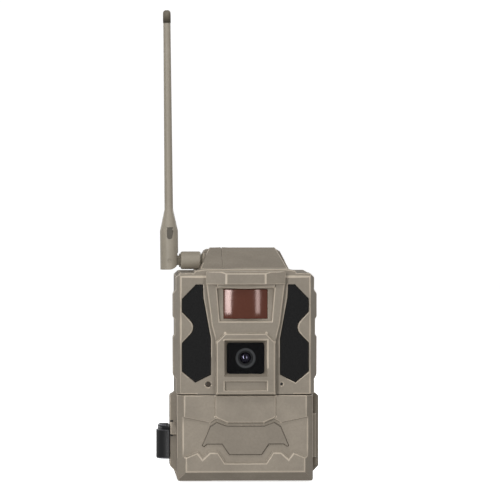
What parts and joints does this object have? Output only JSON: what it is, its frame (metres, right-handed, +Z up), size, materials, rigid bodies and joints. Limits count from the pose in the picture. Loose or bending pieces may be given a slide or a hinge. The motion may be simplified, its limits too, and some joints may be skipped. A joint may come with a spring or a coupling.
{
  "type": "trail camera",
  "caption": "Tan wildlife trail camera with a hinged lower door, side latch, infrared windows, motion sensor and a folding swivel antenna.",
  "frame": {"origin": "mouth of the tripod socket in the underside", "axes": "-Z out of the tripod socket, +Z up along the whip antenna, -Y out of the lens, +X towards the door hinge"},
  "size_m": [0.1012, 0.0966, 0.2944],
  "materials": {
    "housing_tan": "fine spark-eroded texture",
    "front_tan": "fine spark-eroded texture",
    "door_tan": "fine spark-eroded texture",
    "antenna_tan": "satin",
    "antenna_dark": "satin",
    "smoked_window": "polished",
    "clear_window": "polished",
    "pir_window": "polished, translucent",
    "black_plastic": "satin",
    "soft_rubber": "matt",
    "circuit_board": "solder mask",
    "lamp_resin": "clear tinted",
    "display_glass": "polished",
    "steel": "plated",
    "brass": "plated",
    "cell_jacket": "printed sleeve",
    "jack_plastic": "satin",
    "coax": "jacket"
  },
  "bodies": {
    "camera_body": {"antenna_connector": "brass", "antenna_pigtail": "coax", "back_housing": "housing_tan", "bay_contacts": "brass", "board_screws": "steel", "bracket_screws": "steel", "camera_board": "circuit_board", "card_sockets": "black_plastic", "centre_bezel": "front_tan", "control_panel": "black_plastic", "feet": "soft_rubber", "front_gasket": "soft_rubber", "front_housing": "front_tan", "hinge_pin": "steel", "housing_screws": "steel", "ir_leds": "lamp_resin", "ir_windows": "smoked_window", "key_board": "circuit_board", "latch_pin": "steel", "lcd_screen": "display_glass", "led_boards": "circuit_board", "lens_barrel": "black_plastic", "lens_glass": "clear_window", "lens_holder": "black_plastic", "lens_window": "clear_window", "main_board": "circuit_board", "microphone": "black_plastic", "modem_shield": "steel", "pir_module": "circuit_board", "pir_shroud": "black_plastic", "pir_window": "pir_window", "power_jack": "jack_plastic", "rear_bracket": "housing_tan", "roof_cover": "housing_tan", "status_lens": "clear_window", "threaded_inserts": "brass", "visor": "front_tan"},
    "door": {"door_shell": "door_tan", "door_seal": "soft_rubber", "door_badge": "door_tan"},
    "latch": {"latch_lever": "black_plastic"},
    "tray": {"battery_tray": "housing_tan", "battery_cells": "cell_jacket", "tray_contacts": "brass"},
    "key_up": {"key_up": "soft_rubber"},
    "key_down": {"key_down": "soft_rubber"},
    "key_left": {"key_left": "soft_rubber"},
    "key_right": {"key_right": "soft_rubber"},
    "key_ok": {"key_ok": "soft_rubber"},
    "power_switch": {"power_switch": "soft_rubber"},
    "eject_button": {"eject_button": "soft_rubber"},
    "sd_card": {"sd_card": "black_plastic"},
    "sim_card": {"sim_card": "jack_plastic"},
    "port_cover": {"port_cover": "soft_rubber"},
    "ir_cut_filter": {"ir_cut_filter": "display_glass"},
    "antenna_sleeve": {"antenna_sleeve": "antenna_tan"},
    "antenna_elbow": {"antenna_elbow": "antenna_dark", "elbow_pin": "steel"},
    "antenna_whip": {"antenna_whip": "antenna_tan", "whip_tip": "antenna_dark"}
  },
  "joints": [
    {"name": "door_swing", "type": "hinge", "parent": "camera_body", "child": "door", "pos_m": [0.0445, -0.0134, 0.0268], "axis": [0, 0, 1], "range_deg": [0, 120]},
    {"name": "latch_turn", "type": "hinge", "parent": "camera_body", "child": "latch", "pos_m": [-0.05, 0.004, 0.022], "axis": [0, 0, -1], "range_deg": [0, 95]},
    {"name": "tray_slide", "type": "slide", "parent": "camera_body", "child": "tray", "axis": [0, 0, -1], "range_m": [0, 0.0589]},
    {"name": "key_up_press", "type": "slide", "parent": "camera_body", "child": "key_up", "axis": [0, 1, 0], "range_m": [0, 0.0004], "stiffness_N_per_m": 400},
    {"name": "key_down_press", "type": "slide", "parent": "camera_body", "child": "key_down", "axis": [0, 1, 0], "range_m": [0, 0.0004], "stiffness_N_per_m": 400},
    {"name": "key_left_press", "type": "slide", "parent": "camera_body", "child": "key_left", "axis": [0, 1, 0], "range_m": [0, 0.0004], "stiffness_N_per_m": 400},
    {"name": "key_right_press", "type": "slide", "parent": "camera_body", "child": "key_right", "axis": [0, 1, 0], "range_m": [0, 0.0004], "stiffness_N_per_m": 400},
    {"name": "key_ok_press", "type": "slide", "parent": "camera_body", "child": "key_ok", "axis": [0, 1, 0], "range_m": [0, 0.0004], "stiffness_N_per_m": 400},
    {"name": "power_switch_slide", "type": "slide", "parent": "camera_body", "child": "power_switch", "axis": [1, 0, 0], "range_m": [0, 0.005]},
    {"name": "eject_press", "type": "slide", "parent": "camera_body", "child": "eject_button", "axis": [0, 0, 1], "range_m": [0, 0.0008], "stiffness_N_per_m": 300},
    {"name": "sd_card_slide", "type": "slide", "parent": "camera_body", "child": "sd_card", "axis": [1, 0, 0], "range_m": [0, 0.0034]},
    {"name": "sim_card_slide", "type": "slide", "parent": "camera_body", "child": "sim_card", "axis": [-1, 0, 0], "range_m": [0, 0.003]},
    {"name": "port_cover_swing", "type": "hinge", "parent": "camera_body", "child": "port_cover", "pos_m": [-0.022, 0.0029, 0.00085], "axis": [1, 0, 0], "range_deg": [0, 90]},
    {"name": "ir_cut_slide", "type": "slide", "parent": "camera_body", "child": "ir_cut_filter", "axis": [-1, 0, 0], "range_m": [0, 0.007]},
    {"name": "sleeve_spin", "type": "hinge", "parent": "camera_body", "child": "antenna_sleeve", "pos_m": [-0.0461, 0.012, 0.1362], "axis": [1, 0, 0], "continuous": true},
    {"name": "antenna_swivel", "type": "hinge", "parent": "camera_body", "child": "antenna_elbow", "pos_m": [-0.0461, 0.012, 0.1362], "axis": [1, 0, 0], "range_deg": [-90, 90]},
    {"name": "whip_fold", "type": "hinge", "parent": "antenna_elbow", "child": "antenna_whip", "pos_m": [-0.0461, 0.012, 0.1362], "axis": [0, -1, 0], "range_deg": [0, 90]}
  ]
}
